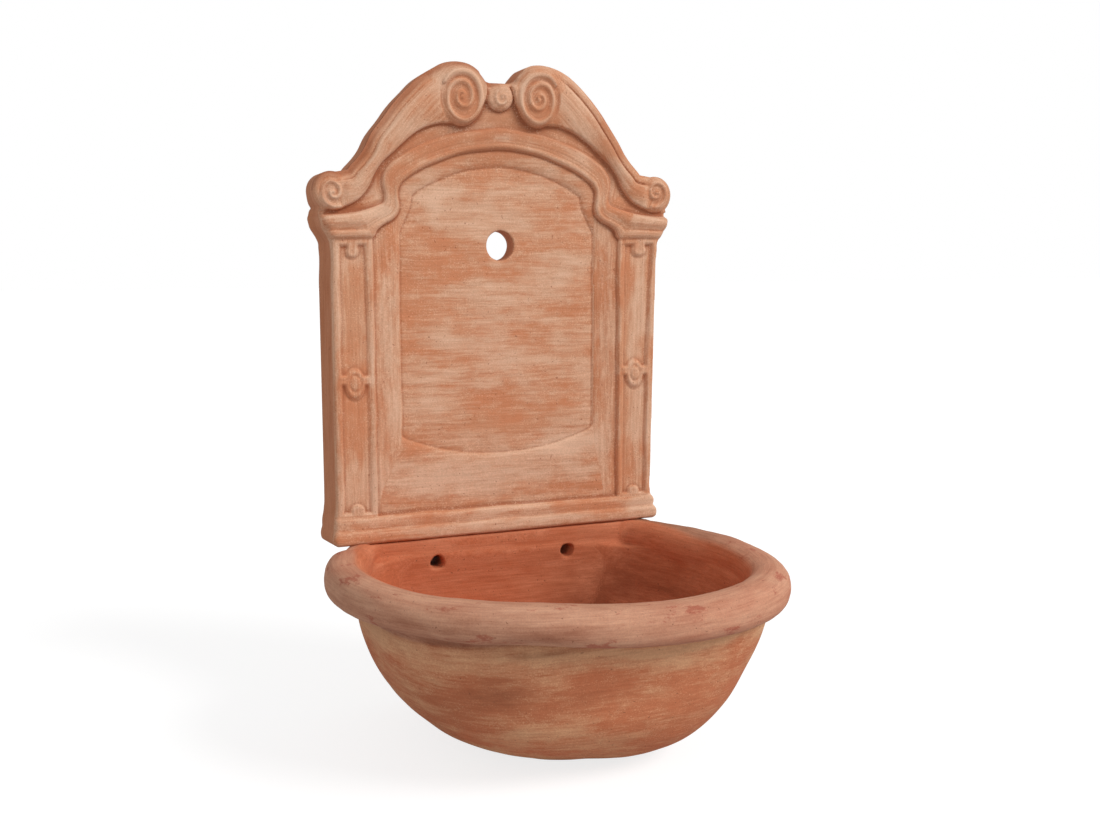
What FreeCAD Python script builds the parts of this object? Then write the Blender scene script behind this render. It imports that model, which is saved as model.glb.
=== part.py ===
import FreeCAD, Part
import math
import os

# Garden wall fountain in fired clay: a moulded backplate that stands on the back wall of a
# half-round basin.  Millimetres, +Z up.  It is drawn with the house wall as the plane Y = 0,
# reaching forward along -Y and mirrored about X = 0, and moved at the end so that the origin
# is the middle of its footprint.  Heights in the basin are above the ground; heights in the
# backplate are above its own bottom edge, and depths are in front of the wall.

Vec = FreeCAD.Vector

# Basin, overall
basin_height = 217.0            # ground to the crest of the rim
basin_reach = 397.0             # wall to the middle line of the rim at the nose
basin_half_width = 226.0        # middle line of the rim at the widest place
back_wall = 40.0                # thickness of the flat back wall
basin_wall = 18.0               # thickness of the bowl, measured level
floor_thickness = 26.0
foot_half_width = 86.0
foot_reach = 244.0
plan_widest = 0.485             # place of the widest line, as a share of the reach
plan_narrowing = 0.37           # how much narrower the plan is at the wall
rim_squareness = 2.33           # 2 is an ellipse, more is squarer
bowl_squareness = 3.0

# Bowl's flank from the foot to the neck: shares of its height, of its side flare and of its
# flare at the nose, where it is steeper
bowl_flank = (
    (0.0, 0.0, 0.0),
    (0.02, 0.06, 0.12),
    (0.08, 0.15, 0.34),
    (0.22, 0.37, 0.68),
    (0.42, 0.67, 0.86),
    (0.64, 0.84, 0.94),
    (1.0, 1.0, 1.0),
)

# Rim bead
rim_half_width = 23.0           # half the bead's width
rim_half_height = 23.5
rim_crest_flat = 4.0            # half the width of the crest's flat
neck_side_inset = 8.0           # bowl under the bead, inside the bead's middle line
neck_nose_inset = 14.0
crease_angle = 62.0             # degrees below level where the bead meets the bowl

# Wall screw holes in the basin's back wall
screw_spacing = 166.0
screw_height = 181.0
screw_hole_diameter = 12.0

# Backplate, levels of the relief as depths in front of the wall
hollow_depth = 15.0             # the back is hollow to save clay
hollow_margin = 24.0            # width of the edge the plate bears on
spandrel_depth = 33.0           # sunk ground between the rails and the arch
field_depth = 35.0              # band round the middle field
panel_depth = 33.0              # the middle field itself
pilaster_depth = 45.0
pilaster_panel_depth = 40.0
side_draft = 6.0                # how much wider each side is at the wall
plinth_depth = 51.0
plinth_step_depth = 48.0
cap_depth = 55.0
cap_neck_depth = 49.0
arch_depth = 45.0
arch_bead_depth = 49.0
edge_depth = 38.0               # outer edge of the pediment, where its bevel starts
rail_depth = 52.0
volute_depth = 56.0
rosette_depth = 54.0
spiral_groove_depth = 3.5
spiral_groove_width = 3.0

# Plinth
seat_drop = 7.0                 # how far the seat lies below the rim's crest
seat_clearance = 1.0            # between the seat's rebate and the plinth
plinth_half_width = 205.0
plinth_height = 17.0
plinth_step_half_width = 202.0
plinth_step_height = 31.0

# Pilasters and their caps
pilaster_half_width = 198.5     # outer side of the pilasters
pilaster_inner = 152.5          # inner side of the pilasters
pilaster_height = 348.0
pilaster_panel_width = 31.0
pilaster_panel_foot = 32.0
pilaster_panel_head = 340.0
ornament_radius = 15.5
ornament_eye_radius = 8.5
ornament_bar_height = 9.0
end_ornament_radius = 9.5
cap_half_width = 214.5
cap_neck_half_width = 207.0
cap_neck_height = 9.0
cap_height = 26.0

# Middle field and tap hole
field_half_width = 119.5
field_foot = 122.0              # bottom corners of the middle field
field_bow = 25.0                # how far its bottom edge bows down
tap_height = 340.0
tap_diameter = 34.0

# Arch moulding
arch_crown_rise = 75.0          # caps' top up to the arch's inner edge at the middle
arch_rise = 36.5                # from the arch's ends up to its crown
arch_half_width = 117.0
arch_shoulder_drop = 29.5       # from the arch's ends down to the shoulders
arch_outer_gap = 24.0           # width of the moulding at its crown
arch_outer_half_width = 139.0
arch_outer_rise = 50.0
panel_gap = 19.5                # between the arch and the middle field

# Pediment
pediment_rise = 171.5           # caps' top up to the rails' top over the big volutes
volute_x = 50.0
volute_drop = 39.5              # rails' top down to the big volutes' centres
volute_radius = 30.0
end_volute_x = 197.5
end_volute_rise = 25.5          # caps' top up to the end volutes' centres
end_volute_radius = 21.5
volute_round = 5.0              # rounding of the volutes' front edges
volute_border = 1.5             # flat ring between that rounding and the first groove
rosette_drop = 36.5             # rails' top down to the rosette's centre
rosette_radius = 14.0
rosette_eye_radius = 4.5
notch_half_width = 12.0
notch_drop = 24.0               # rails' top down to the middle notch
rail_shoulder_x = 104.0
rail_shoulder_share = 0.851     # place between the caps' top and the rails' top
rail_middle_x = 140.5
rail_middle_share = 0.598
rail_end_x = 176.5
rail_end_share = 0.297
rail_bevel = 6.5                # width of the rail's outer side
rail_draft = 1.5                # how much smaller the pediment is at the wall
rail_width = 45.0               # outer edge to the sunk spandrel

seat_height = basin_height - seat_drop
rim_height = basin_height - rim_half_height
body_height = rim_height - rim_half_height * math.sin(math.radians(crease_angle)) + 6.0
cap_top = pilaster_height + cap_height
pediment_height = cap_top + pediment_rise
volute_height = pediment_height - volute_drop
rosette_height = pediment_height - rosette_drop
end_volute_height = cap_top + end_volute_rise
arch_crown = cap_top + arch_crown_rise
rail_shoulder = (rail_shoulder_x, cap_top + rail_shoulder_share * pediment_rise)
rail_middle = (rail_middle_x, cap_top + rail_middle_share * pediment_rise)
rail_end = (rail_end_x, cap_top + rail_end_share * pediment_rise)
overall_depth = basin_reach + rim_half_width
arch_ends = arch_crown - arch_rise
arch_shoulder = arch_ends - arch_shoulder_drop


# Basin

def plan_points(half_width, reach, back, squareness):
    """Right to left round the basin's plan, from the back plane over the nose."""
    widest = -plan_widest * reach
    nose = reach + widest
    steps = 5
    right = []
    for i in range(steps):
        y = back + (widest - back) * i / steps
        behind = (y - widest) / -widest
        right.append((half_width * (1 - plan_narrowing * behind ** 1.6), y))
    for angle in range(0, 90, 15):
        c = math.cos(math.radians(angle))
        s = math.sin(math.radians(angle))
        n = squareness
        radius = ((c / half_width) ** n + (s / nose) ** n) ** (-1 / n)
        right.append((radius * c, widest - radius * s))
    left = [(-x, y) for x, y in reversed(right)]
    return right + [(0.0, -reach)] + left


def plan_wire(half_width, reach, height, back=0.0, squareness=rim_squareness):
    """Closed outline of the basin at one height, straight along the back plane."""
    points = [Vec(x, y, height) for x, y in plan_points(half_width, reach, back, squareness)]
    curve = Part.BSplineCurve()
    curve.interpolate(points)
    straight = Part.LineSegment(points[-1], points[0])
    return Part.Wire([curve.toShape(), straight.toShape()])


def loft(wires):
    return Part.makeLoft(wires, True, False)


def flared(low, high, bottom, top, back):
    """Loft up the flank from the low (half width, reach) to the high one."""
    wires = []
    for share, side, nose in bowl_flank:
        half = low[0] + (high[0] - low[0]) * side
        reach = low[1] + (high[1] - low[1]) * nose
        height = bottom + (top - bottom) * share
        wires.append(plan_wire(half, reach, height, back, bowl_squareness))
    return loft(wires)


def bowl_body():
    low = (foot_half_width, foot_reach)
    high = (basin_half_width - neck_side_inset, basin_reach - neck_nose_inset)
    return flared(low, high, 0.0, body_height, 0.0)


def rim_bead():
    wires = []
    crest_angle = math.degrees(math.acos(rim_crest_flat / rim_half_width))
    for angle in (-crease_angle, -40, -15, 10, 35, 58, crest_angle):
        out = rim_half_width * math.cos(math.radians(angle))
        height = rim_height + rim_half_height * math.sin(math.radians(angle))
        wires.append(plan_wire(basin_half_width + out, basin_reach + out, height))
    return loft(wires)


def cavity_top():
    half = basin_half_width - neck_side_inset - basin_wall
    return (half, basin_reach - neck_nose_inset - basin_wall)


def bowl_cavity():
    """Room for the water, up to the bead."""
    low = (foot_half_width - basin_wall, foot_reach - basin_wall)
    return flared(low, cavity_top(), floor_thickness, body_height, -back_wall)


def rim_mouth():
    """Opening above the cavity: the rounded inner side of the bead."""
    wires = [plan_wire(*cavity_top(), body_height, -back_wall, bowl_squareness)]
    crest_angle = math.degrees(math.acos(rim_crest_flat / rim_half_width))
    for angle in (0, 20, 40, 60, crest_angle):
        inwards = rim_half_width * math.cos(math.radians(angle))
        height = rim_height + rim_half_height * math.sin(math.radians(angle))
        half = basin_half_width - inwards
        reach = basin_reach - inwards
        wires.append(plan_wire(half, reach, height, -back_wall))
    top = Part.Face(wires[-1])
    return loft(wires).fuse(top.extrude(Vec(0, 0, 10)))


def basin():
    solid = bowl_body().fuse(rim_bead())
    solid = solid.cut(bowl_cavity()).cut(rim_mouth())
    half = plinth_half_width + side_draft + seat_clearance
    depth = plinth_depth + seat_clearance
    seat = Part.makeBox(2 * half, depth + 10, 50, Vec(-half, -depth, seat_height))
    solid = solid.cut(seat)
    for side in (-1, 1):
        start = Vec(side * screw_spacing / 2, 10, screw_height)
        hole = Part.makeCylinder(screw_hole_diameter / 2, back_wall + 40, start, Vec(0, -1, 0))
        solid = solid.cut(hole)
    return solid.removeSplitter()


# Backplate

def at(x, height, depth=0.0):
    return Vec(x, -depth, seat_height + height)


def outline(parts, depth=0.0):
    """Closed wire from point lists: two points give a line, more give one smooth curve."""
    edges = []
    for part in parts:
        points = [at(x, h, depth) for x, h in part]
        if len(points) == 2:
            edges.append(Part.LineSegment(points[0], points[1]).toShape())
        else:
            curve = Part.BSplineCurve()
            curve.interpolate(points)
            edges.append(curve.toShape())
    return Part.Wire(edges)


def slab(parts, back, front):
    """Flat solid with the given outline between two depths."""
    face = Part.Face(outline(parts, back))
    return face.extrude(Vec(0, back - front, 0))


def mirrored(right):
    """Point lists of the right half, bottom to top, closed into a symmetric outline."""
    left = [[(-x, h) for x, h in reversed(part)] for part in reversed(right)]
    top = right[-1][-1]
    bridge = [[top, (-top[0], top[1])]] if top[0] > 0 else []
    bottom = right[0][0]
    return right + bridge + left + [[(-bottom[0], bottom[1]), bottom]]


def block(left, right, low, high, front):
    return Part.makeBox(right - left, front, high - low, at(left, low, front))


def pair(shape):
    """A shape and its mirror image about X = 0."""
    return [shape, shape.mirror(Vec(0, 0, 0), Vec(1, 0, 0))]


def disc(x, height, radius, back, front):
    start = at(x, height, back)
    return Part.makeCylinder(radius, front - back, start, Vec(0, -1, 0))


def drafted_block(half_width, low, high, front):
    """Block across the plate whose sides widen towards the wall."""
    wide = half_width + side_draft
    corners = [(-wide, 0), (wide, 0), (half_width, -front), (-half_width, -front)]
    points = [Vec(x, y, seat_height + low) for x, y in corners]
    face = Part.Face(Part.makePolygon(points + points[:1]))
    return face.extrude(Vec(0, 0, high - low))


def plinth():
    foot = drafted_block(plinth_half_width - side_draft / 2, 0, plinth_height, plinth_depth)
    step = drafted_block(
        plinth_step_half_width - side_draft / 2,
        0,
        plinth_step_height,
        plinth_step_depth,
    )
    return foot.fuse(step)


def cap():
    """Moulded cap over the right pilaster: a neck and a broader slab above it."""
    inner = pilaster_inner - 4
    neck_top = pilaster_height + cap_neck_height
    neck = block(inner, cap_neck_half_width, pilaster_height, neck_top, cap_neck_depth)
    top = block(inner, cap_half_width, neck_top, cap_top, cap_depth)
    round_edges = [e for e in top.Edges if is_front_edge(e, cap_depth)]
    return neck.fuse(top.makeFillet(5.0, round_edges))


def is_front_edge(edge, depth):
    box = edge.BoundBox
    return abs(box.YMin + depth) < 0.01 and abs(box.YMax + depth) < 0.01


def rail_line(inset):
    """Right rail's outer edge from the end volute to the middle notch, moved inwards."""
    line = [
        rail_end,
        rail_middle,
        rail_shoulder,
        (volute_x, pediment_height),
        (notch_half_width, pediment_height - notch_drop),
    ]
    return [
        (rail_end[0] - 0.6 * inset, rail_end[1] - 0.8 * inset),
        (rail_middle[0] - 0.8 * inset, rail_middle[1] - 0.6 * inset),
        (rail_shoulder[0] - 0.6 * inset, rail_shoulder[1] - 0.8 * inset),
        (line[3][0] - 0.1 * inset, line[3][1] - inset),
        (line[4][0], line[4][1] - 0.5 * inset),
    ]


def pediment_half(inset):
    side = end_volute_x + 0.6 * end_volute_radius - inset
    line = rail_line(inset)
    return [[(side, cap_top - 4), (side, end_volute_height)], [(side, end_volute_height), line[0]], line]


def pediment():
    """Rails from the end volutes up to the big ones, with a bevelled outer side."""
    wall = outline(mirrored(pediment_half(rail_draft)), 0)
    edge = outline(mirrored(pediment_half(0.0)), edge_depth)
    front = outline(mirrored(pediment_half(rail_bevel)), rail_depth)
    back = Part.makeLoft([wall, edge], True, True)
    return back.fuse(Part.makeLoft([edge, front], True, True))


def spandrel_room():
    """Sunk ground between the rails, the big volutes and the caps, down to its own depth."""
    inner = rail_line(rail_width)
    foot = (end_volute_x - end_volute_radius + 8, cap_top + 9)
    crown = arch_crown + arch_outer_gap
    right = [
        [(foot[0], cap_top), foot],
        [foot, inner[0], inner[1], inner[2], (volute_x + 20, crown + 8)],
        [(volute_x + 20, crown + 8), (0.0, crown + 14)],
    ]
    return slab(mirrored(right), spandrel_depth, volute_depth + 20)


def arch_half(moved):
    """Inner line of the arch moulding, from the pilaster up to the crown, moved inwards."""
    shoulder = arch_shoulder - 0.4 * moved
    inner = pilaster_inner - 1.75 * moved
    width = arch_half_width - 0.8 * moved
    ends = arch_ends - 0.8 * moved
    sweep = [
        (inner, pilaster_height - moved),
        (inner - 5, shoulder - 22),
        (inner - 20, shoulder - 13),
        (width + 5, shoulder),
    ]
    if moved:
        sweep = [(inner, pilaster_height - moved), (width + 2, shoulder)]
    crown = arch_crown - moved
    return [
        sweep,
        [sweep[-1], (width, ends)],
        [(width, ends), (0.66 * width, ends + 0.66 * arch_rise), (0.33 * width, crown - 3), (0.0, crown)],
    ]


def arch_moulding():
    """Raised moulding over the field that runs out over the caps on both sides."""
    crown = arch_crown + arch_outer_gap
    haunch = crown - arch_outer_rise
    far = cap_half_width - 20
    right = [
        [(far, cap_top - 8), (far, cap_top)],
        [
            (far, cap_top),
            (arch_outer_half_width + 14, cap_top + 6),
            (arch_outer_half_width - 1, cap_top + 18),
            (arch_outer_half_width, haunch - 10),
            (arch_outer_half_width - 14, haunch + 14),
            (0.56 * arch_outer_half_width, crown - 13),
            (0.0, crown),
        ],
    ]
    body = slab(mirrored(right), spandrel_depth - 4, arch_depth)
    lip = []
    for part in arch_half(0.0):
        lip.append([(x + 7, h + 7) for x, h in part])
    lip[-1][-1] = (0.0, lip[-1][-1][1])
    lip[0][0] = (lip[0][0][0], pilaster_height)
    return body.fuse(slab(mirrored(lip), arch_depth - 4, arch_bead_depth))


def field_room():
    """Everything sunk inside the arch moulding and between the pilasters."""
    right = [[(pilaster_inner, plinth_step_height), (pilaster_inner, pilaster_height)]]
    return slab(mirrored(right + arch_half(0.0)), field_depth, volute_depth + 20)


def panel_room():
    """The middle field, a little deeper than the band round it, with a bowed bottom edge."""
    arch = arch_half(panel_gap)
    top = [(x * field_half_width / arch[0][0][0], h) for x, h in arch[0]]
    right = [[(field_half_width, field_foot), top[0]], [top[0], arch[1][0]]] + arch[1:]
    outline_points = mirrored(right)
    bow = [
        (-field_half_width, field_foot),
        (-0.5 * field_half_width, field_foot - 0.8 * field_bow),
        (0.0, field_foot - field_bow),
        (0.5 * field_half_width, field_foot - 0.8 * field_bow),
        (field_half_width, field_foot),
    ]
    outline_points[-1] = bow
    return slab(outline_points, panel_depth, volute_depth + 20)


def pilaster_panel():
    """Sunk panel of the right pilaster, less its middle and end ornaments."""
    middle = (pilaster_half_width + pilaster_inner) / 2 + 1
    left = middle - pilaster_panel_width / 2
    right = middle + pilaster_panel_width / 2
    low = pilaster_panel_foot
    high = pilaster_panel_head
    front = pilaster_depth + 10
    room = block(left, right, low, high, front)
    room = room.cut(block(left - 1, right + 1, low - 1, high + 1, pilaster_panel_depth))
    eye_height = (low + high) / 2
    ornament = disc(middle, eye_height, ornament_radius, pilaster_panel_depth - 5, front)
    ornament = ornament.cut(disc(middle, eye_height, ornament_eye_radius, pilaster_panel_depth, front))
    half_bar = ornament_bar_height / 2
    bar = block(left - 1, right + 1, eye_height - half_bar, eye_height + half_bar, front)
    bar = bar.cut(disc(middle, eye_height, ornament_radius - 1, 0, front + 1))
    room = room.cut(ornament).cut(bar)
    for end in (low, high):
        room = room.cut(disc(middle, end, end_ornament_radius, pilaster_panel_depth - 5, front))
    return room


def rounded_disc(x, height, radius, front):
    solid = disc(x, height, radius, 0, front)
    rim = [e for e in solid.Edges if is_front_edge(e, front)]
    return solid.makeFillet(volute_round, rim)


def spiral_groove(x, height, radius, front, turn):
    """Spiral groove drawn with half rings whose radii shrink towards the eye."""
    grooves = []
    pitch = 2.2 * spiral_groove_width
    outer = radius - volute_round - volute_border
    shift = 0.0
    side = turn
    while outer > 2 * spiral_groove_width:
        ring = disc(x, height + shift, outer, front - spiral_groove_depth, front + 5)
        ring = ring.cut(disc(x, height + shift, outer - spiral_groove_width, 0, front + 6))
        start = x if side > 0 else x - 3 * radius
        half = block(start, start + 3 * radius, height - 2 * radius, height + 2 * radius, front + 5)
        grooves.append(ring.common(half))
        shift += side * turn * pitch / 2
        outer -= pitch / 2
        side = -side
    return grooves


def rosette():
    ring = rounded_disc(0.0, rosette_height, rosette_radius, rosette_depth)
    room_radius = rosette_radius - volute_round - volute_border
    room = disc(0.0, rosette_height, room_radius, rosette_depth - 3, rosette_depth + 5)
    eye = disc(0.0, rosette_height, rosette_eye_radius, rosette_depth - 6, rosette_depth)
    return ring.cut(room).fuse(eye)


def back_hollow():
    """Recess in the back; a rim all round bears on the wall."""
    half = pilaster_half_width - hollow_margin
    line = rail_line(rail_width * 0.6 + hollow_margin)
    right = [
        [(half, hollow_margin), (half, cap_top)],
        [(half, cap_top), line[1]],
        [line[1], line[2]],
        [line[2], (notch_half_width, line[2][1] + 8)],
    ]
    return slab(mirrored(right), -5, hollow_depth)


def backplate():
    solid = drafted_block(pilaster_half_width, 0, cap_top, pilaster_depth)
    solid = solid.fuse(pediment())
    solid = solid.cut(spandrel_room())
    solid = solid.fuse(arch_moulding())
    solid = solid.fuse(pair(cap()) + [plinth()])
    solid = solid.cut(field_room().fuse(panel_room()))
    solid = solid.cut(pair(pilaster_panel()))
    volutes = pair(rounded_disc(volute_x, volute_height, volute_radius, volute_depth))
    volutes += pair(rounded_disc(end_volute_x, end_volute_height, end_volute_radius, volute_depth))
    solid = solid.fuse(volutes + [rosette()])
    grooves = spiral_groove(volute_x, volute_height, volute_radius, volute_depth, 1)
    grooves += spiral_groove(end_volute_x, end_volute_height, end_volute_radius, volute_depth, -1)
    for groove in grooves:
        solid = solid.cut(pair(groove))
    solid = solid.cut(back_hollow())
    solid = solid.cut(disc(0.0, tap_height, tap_diameter / 2, -10, volute_depth + 20))
    return solid.removeSplitter()


if __name__ == "__main__":
    os.makedirs("parts", exist_ok=True)
    for name, shape in (("basin", basin()), ("backplate", backplate())):
        shape.translate(Vec(0, overall_depth / 2, 0))
        print(name, shape.isValid(), len(shape.Solids), shape.BoundBox)
        shape.exportStep("parts/" + name + ".step")
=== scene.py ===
from functools import reduce
import math

import bpy
import numpy as np
from mathutils import Matrix, Vector

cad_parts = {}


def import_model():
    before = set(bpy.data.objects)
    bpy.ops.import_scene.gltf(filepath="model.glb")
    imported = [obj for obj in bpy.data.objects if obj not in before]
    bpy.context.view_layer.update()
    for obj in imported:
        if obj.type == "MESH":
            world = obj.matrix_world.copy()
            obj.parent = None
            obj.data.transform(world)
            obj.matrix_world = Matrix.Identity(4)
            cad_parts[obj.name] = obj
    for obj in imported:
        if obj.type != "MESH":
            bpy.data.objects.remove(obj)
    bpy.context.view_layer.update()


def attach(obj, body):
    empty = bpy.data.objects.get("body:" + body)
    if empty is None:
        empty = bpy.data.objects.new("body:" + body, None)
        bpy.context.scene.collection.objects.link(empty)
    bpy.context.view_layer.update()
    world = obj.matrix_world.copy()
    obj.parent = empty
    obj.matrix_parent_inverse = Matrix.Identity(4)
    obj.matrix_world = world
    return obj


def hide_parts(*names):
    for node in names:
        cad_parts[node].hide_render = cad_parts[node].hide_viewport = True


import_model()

# Garden wall fountain in brushed terracotta. The shapes are worked out in millimetres: x to the
# right, depth in front of the house wall, and a height that is above the ground for the basin
# and above its own bottom edge for the backplate.

wall_y = 0.210  # the house wall, metres
seat_z = 0.210  # where the backplate stands, metres
seat_slope = 0.0138  # the plate's foot and its seat drop to the left
plate_step = 1.25  # between the points of each mesh, millimetres
basin_step = 2.6


# Small tools

def ease(start, end, value):
    """0 at start, 1 at end, smooth in between."""
    share = np.clip((value - start) / (end - start), 0, 1)
    return share * share * (3 - 2 * share)


def between(a, b, share):
    """a where share is 0, b where it is 1."""
    return a + (b - a) * share


def along(value, table):
    """Value read from a short table of (place, level)."""
    places, levels = zip(*table)
    return np.interp(value, places, levels)


def soft_least(a, b, blend):
    """The lesser of two, rounded where they are near each other."""
    share = np.clip(0.5 + 0.5 * (b - a) / blend, 0, 1)
    return b + (a - b) * share - blend * share * (1 - share)


def soft_most(a, b, blend):
    return -soft_least(-a, -b, blend)


def hump(value, width):
    """1 where the value is 0, falling off smoothly over the width."""
    return np.exp(-(value / width) ** 2)


def wobble(points, length, seed):
    """Smooth unevenness from -1 to 1 over about the given length."""
    draw = np.random.default_rng(seed)
    total = np.zeros(len(points))
    for _ in range(7):
        way = draw.normal(size=points.shape[1])
        way *= draw.uniform(0.6, 1.5) * 2 * math.pi / length / np.linalg.norm(way)
        total += np.sin(points @ way + draw.uniform(0, 2 * math.pi))
    return total / 4.0


def smooth_line(points, step=2.0):
    """Closely spaced points of a smooth line through the given ones."""
    p = np.array(points, float)
    t = np.concatenate([[0], np.cumsum(np.hypot(*np.diff(p, axis=0).T))])
    slope = np.gradient(p, t, axis=0)
    s = np.linspace(0, t[-1], max(2, int(t[-1] / step)))
    i = np.clip(np.searchsorted(t, s, side="right") - 1, 0, len(t) - 2)
    gap = (t[i + 1] - t[i])[:, None]
    w = (s - t[i])[:, None] / gap
    rise = w * w * (3 - 2 * w)
    return (p[i] * (1 - rise) + p[i + 1] * rise
            + slope[i] * gap * w * (1 - w) ** 2 - slope[i + 1] * gap * w * w * (1 - w))


def arc(x, h, radius, start, end, step=5):
    """Points of an arc, angles in degrees."""
    count = max(2, int(abs(end - start) / step))
    turn = np.radians(np.linspace(start, end, count))
    return np.column_stack([x + radius * np.cos(turn), h + radius * np.sin(turn)])


def closed(parts, corners=()):
    """Polygon of point lists, and further corners that close it."""
    pieces = [np.array(part, float).reshape(-1, 2) for part in parts]
    return np.vstack(pieces + [np.array(corners, float).reshape(-1, 2)])


def nearest(x, h, polygon, block=12000):
    """Distance inside a polygon, length along it and its direction, at each point."""
    a = polygon.astype(np.float32)
    b = np.roll(a, -1, axis=0)
    keep = np.hypot(*(b - a).T) > 1e-4
    a, b = a[keep], b[keep]
    edge = b - a
    size = np.hypot(*edge.T)
    start = np.concatenate([[0], np.cumsum(size)[:-1]])
    gap, place, way = np.empty(len(x)), np.empty(len(x)), np.empty((len(x), 2))
    for first in range(0, len(x), block):
        part = slice(first, first + block)
        px, py = (v[part].astype(np.float32)[:, None] for v in (x, h))
        share = ((px - a[:, 0]) * edge[:, 0] + (py - a[:, 1]) * edge[:, 1]) / size ** 2
        share = np.clip(share, 0, 1)
        far = np.hypot(px - a[:, 0] - share * edge[:, 0], py - a[:, 1] - share * edge[:, 1])
        best = far.argmin(axis=1)
        rows = np.arange(len(best))
        above = (a[:, 1] > py) != (b[:, 1] > py)
        rise = np.where(edge[:, 1] == 0, 1, edge[:, 1])
        cross = a[:, 0] + (py - a[:, 1]) * edge[:, 0] / rise
        inside = (above & (px < cross)).sum(axis=1) % 2 == 1
        gap[part] = np.where(inside, 1, -1) * far[rows, best]
        place[part] = start[best] + share[rows, best] * size[best]
        way[part] = edge[best] / size[best][:, None]
    return gap, place, way


def shown(name, data):
    """New object of that data, in the scene."""
    made = bpy.data.objects.new(name, data)
    bpy.context.scene.collection.objects.link(made)
    return made


def make_piece(name, points, faces, values):
    """Mesh object from points in metres, index arrays of faces, and values at its points."""
    mesh = bpy.data.meshes.new(name)
    mesh.vertices.add(len(points))
    mesh.vertices.foreach_set("co", points.astype(np.float32).ravel())
    corners = np.concatenate([f.ravel() for f in faces]).astype(np.int32)
    sizes = np.concatenate([np.full(len(f), f.shape[1]) for f in faces])
    starts = np.concatenate([[0], np.cumsum(sizes)[:-1]]).astype(np.int32)
    mesh.loops.add(len(corners))
    mesh.loops.foreach_set("vertex_index", corners)
    mesh.polygons.add(len(sizes))
    mesh.polygons.foreach_set("loop_start", starts)
    mesh.polygons.foreach_set("use_smooth", np.ones(len(sizes), bool))
    mesh.update(calc_edges=True)
    for key, value in values.items():
        kind, field = ("FLOAT", "value") if value.ndim == 1 else ("FLOAT_VECTOR", "vector")
        layer = mesh.attributes.new(key, kind, "POINT")
        layer.data.foreach_set(field, value.astype(np.float32).ravel())
    mesh.validate()
    return shown(name, mesh)


# Backplate: lines of its relief, right half, millimetres

far = 400.0  # closes the open lines well outside the plate
pilaster_inner = 152.5
panel_middle = 174.6  # of a pilaster's sunk panel
panel_half_width = 15.6
panel_foot = 36.0
panel_head = 341.0
rail_bead = 10.6  # width of the bead or bevel along a rail's edge
tap_height = 340.0
tap_radius = 17.0
tap_x = 2.0
end_volute = (197.5, 400.0)
end_volute_radius = 22.0

# Depths in front of the wall
field_depth = 38.4
band_depth = 41.4
pilaster_depth = 45.0
ground_depth = 43.4
rail_depth = 46.8
big_scroll_depth = 50.6
end_scroll_depth = 48.2
rosette_depth = 50.2
neck_depth = 47.2
hollow_depth = 15.0

side_line = [
    (200.5, 0), (204, 2.5), (205.5, 8), (204.6, 14), (202, 17.5), (202.8, 21.5), (202.6, 26.5),
    (200.2, 31), (198.6, 39), (198.5, 60),
]
cap_line = [
    (198.3, 300), (198.3, 334), (199.6, 343), (203.5, 349), (208.8, 355.5), (213.4, 361.5),
    (215.4, 367), (215.4, 371.5), (213.8, 375.5), (213.2, 379.5),
]
rail_line = [
    (178.5, 423.4), (176.2, 426.5), (166.9, 436.8), (158.9, 447.6), (152.2, 459), (144.3, 470.6),
    (136.3, 482), (128.5, 493.2), (119.4, 504.3), (109, 515.4), (96.5, 526.8), (82.4, 537),
    (66.8, 543.6), (50, 546), (34, 543), (21.5, 534.5), (14, 525.5),
]
outline = closed([
    [(0, 0)], smooth_line(side_line), smooth_line(cap_line),
    arc(*end_volute, end_volute_radius, -50, 104), smooth_line(rail_line),
    [(10, 524.3), (0, 524.3)],
])
outline = closed([outline, outline[-2:0:-1] * [-1, 1]])

# The plate is a little out of true: outward shift of its right and left sides at each height
right_shift = [
    (0, 0), (150, 0.5), (230, 1.5), (290, 4), (335, 6.3), (349, 5.5), (366, 1.5), (378, 2.5),
    (390, 1.5), (420, 1.5), (450, 0.5), (546, 0)]
left_shift = [
    (0, 0), (14, 0.2), (17.5, 2.0), (21.5, 0.9), (26.5, 0.7), (31, 2.4), (39, 2.6), (60, 1.8),
    (300, 2), (340, 1.2), (352, -2), (366, -4.5), (380, -2), (400, -1), (430, 1.5), (470, 0.5),
    (546, 0)]

# Dents and swellings of its outline: which way, place, half sizes and move
outline_dents = [
    (0, (-148, 465), (14, 18), -2.2), (0, (-110, 515), (14, 14), 1.3), (0, (16, 529), (9, 8), 4.0),
    (1, (25, 537), (9, 10), -4.0), (0, (-82, 537), (16, 8), 3.0),
]


def out_of_true(x, h):
    """Sideways shift of the plate at a place."""
    return (along(h, right_shift) * ease(150, 195, x)
            - along(h, left_shift) * ease(-150, -195, x))


def foot_shift(x, h):
    """Upward shift of the plate's sloping foot."""
    return seat_slope * x * ease(60, 0, h)


outline[:, 0] += out_of_true(*outline.T)
outline[:, 1] += foot_shift(*outline.T)
for way, place, half_size, move in outline_dents:
    outline[:, way] += move * np.exp(-(((outline - place) / half_size) ** 2).sum(axis=1))

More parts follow.
